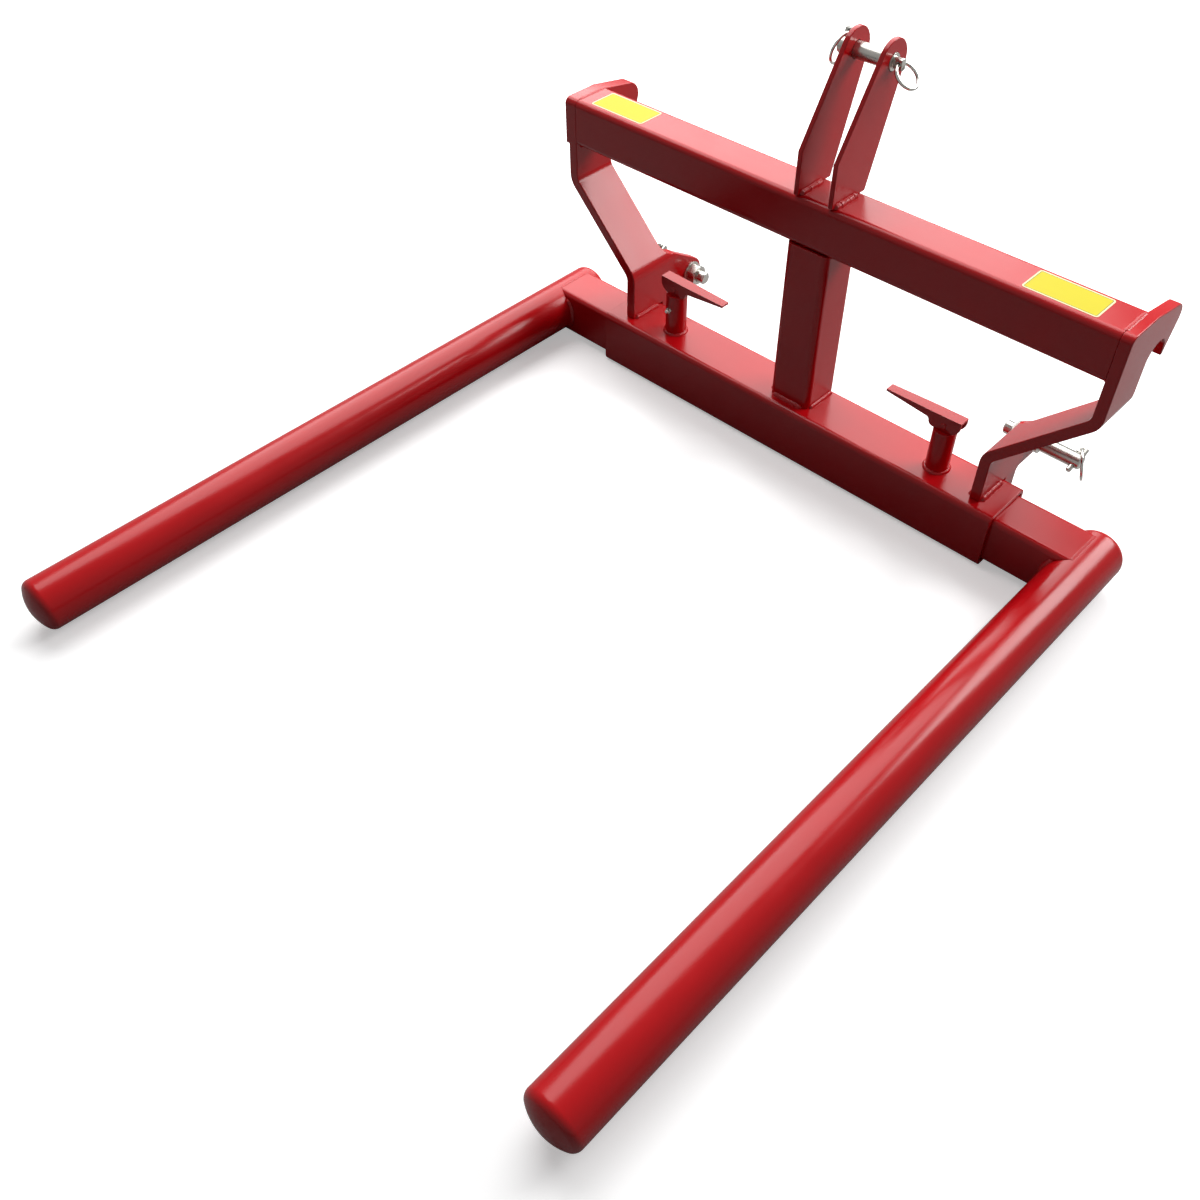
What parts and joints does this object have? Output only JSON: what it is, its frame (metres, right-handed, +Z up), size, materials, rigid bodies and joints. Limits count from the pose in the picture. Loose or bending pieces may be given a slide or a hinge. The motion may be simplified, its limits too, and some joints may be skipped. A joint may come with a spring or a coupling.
{
  "type": "tractor round bale carrier",
  "caption": "Linkage-mounted carrier for round bales: a welded frame with hooks and link pins, and round tube arms that slide in and out of a square beam under spring bolts with cam levers.",
  "frame": {"origin": "on the underside of the lower beam, in the middle of its length and depth", "axes": "+X right along the beams as seen from behind the arms' tips, -Y the way the arms point, +Y towards the tractor, +Z up"},
  "size_m": [1.047, 1.156, 0.603],
  "materials": {
    "red_paint": "gloss",
    "zinc": "bright zinc plated",
    "bright_wire": "bright",
    "bare_steel": "oiled",
    "spring_steel": "satin",
    "label_yellow": "satin"
  },
  "bodies": {
    "frame": {"lower_beam": "red_paint", "upper_beam": "red_paint", "post": "red_paint", "left_side_plate": "red_paint", "left_top_link_ear": "red_paint", "left_latch_housing": "red_paint", "left_lower_link_pin": "zinc", "left_link_washer": "zinc", "left_link_nut": "zinc", "left_lynch_plug": "zinc", "left_grease_nipple": "zinc", "left_latch_spring": "spring_steel", "left_label": "label_yellow", "right_side_plate": "red_paint", "right_top_link_ear": "red_paint", "right_latch_housing": "red_paint", "right_lower_link_pin": "zinc", "right_link_washer": "zinc", "right_link_nut": "zinc", "right_lynch_plug": "zinc", "right_grease_nipple": "zinc", "right_latch_spring": "spring_steel", "right_label": "label_yellow"},
    "left_arm": {"left_inner_tube": "red_paint", "left_arm_tube": "red_paint", "left_front_cap": "red_paint", "left_rear_cap": "red_paint"},
    "left_bolt": {"left_latch_bolt": "bare_steel", "left_lever_pivot": "red_paint"},
    "left_cam_lever": {"left_lever": "red_paint"},
    "left_bail": {"left_lynch_bail": "bright_wire"},
    "right_arm": {"right_inner_tube": "red_paint", "right_arm_tube": "red_paint", "right_front_cap": "red_paint", "right_rear_cap": "red_paint"},
    "right_bolt": {"right_latch_bolt": "bare_steel", "right_lever_pivot": "red_paint"},
    "right_cam_lever": {"right_lever": "red_paint"},
    "right_bail": {"right_lynch_bail": "bright_wire"},
    "top_pin": {"top_link_pin": "zinc", "top_lynch_plug": "zinc"},
    "top_bail": {"top_lynch_bail": "bright_wire"},
    "ring": {"pull_ring": "bright_wire"}
  },
  "joints": [
    {"name": "left_arm_slide", "type": "slide", "parent": "frame", "child": "left_arm", "axis": [-1, 0, 0], "range_m": [-0.07, 0.14]},
    {"name": "left_bolt_lift", "type": "slide", "parent": "frame", "child": "left_bolt", "axis": [0, 0, 1], "range_m": [0, 0.016], "stiffness_N_per_m": 1500, "springref_m": -0.008, "deforming": ["left_latch_spring"]},
    {"name": "left_lever_turn", "type": "hinge", "parent": "left_bolt", "child": "left_cam_lever", "pos_m": [-0.247, 0, 0.16735], "axis": [0, -1, 0], "range_deg": [0, 90]},
    {"name": "left_bail_swing", "type": "hinge", "parent": "frame", "child": "left_bail", "pos_m": [-0.394, 0.12977, 0.12189], "axis": [0, 0.4226, -0.9063], "range_deg": [-30, 100]},
    {"name": "right_arm_slide", "type": "slide", "parent": "frame", "child": "right_arm", "axis": [1, 0, 0], "range_m": [-0.07, 0.14]},
    {"name": "right_bolt_lift", "type": "slide", "parent": "frame", "child": "right_bolt", "axis": [0, 0, 1], "range_m": [0, 0.016], "stiffness_N_per_m": 1500, "springref_m": -0.008, "deforming": ["right_latch_spring"]},
    {"name": "right_lever_turn", "type": "hinge", "parent": "right_bolt", "child": "right_cam_lever", "pos_m": [0.247, 0, 0.16735], "axis": [0, 1, 0], "range_deg": [0, 90]},
    {"name": "right_bail_swing", "type": "hinge", "parent": "frame", "child": "right_bail", "pos_m": [0.394, 0.12977, 0.12189], "axis": [0, -0.4226, 0.9063], "range_deg": [-30, 100]},
    {"name": "top_pin_turn", "type": "hinge", "parent": "frame", "child": "top_pin", "pos_m": [0, 0.07, 0.575], "axis": [1, 0, 0], "continuous": true},
    {"name": "top_bail_swing", "type": "hinge", "parent": "top_pin", "child": "top_bail", "pos_m": [-0.0405, 0.07477, 0.59059], "axis": [0, 0.9563, -0.2924], "range_deg": [-15, 105]},
    {"name": "pull_ring_swing", "type": "hinge", "parent": "top_pin", "child": "ring", "pos_m": [0.0395, 0.07, 0.575], "axis": [0, 1, 0], "range_deg": [-125, 50]}
  ],
  "couplings": [
    {"joint": "left_lever_turn", "follows": "left_bolt_lift", "rad_per_m": 98.17},
    {"joint": "right_lever_turn", "follows": "right_bolt_lift", "rad_per_m": 98.17}
  ]
}
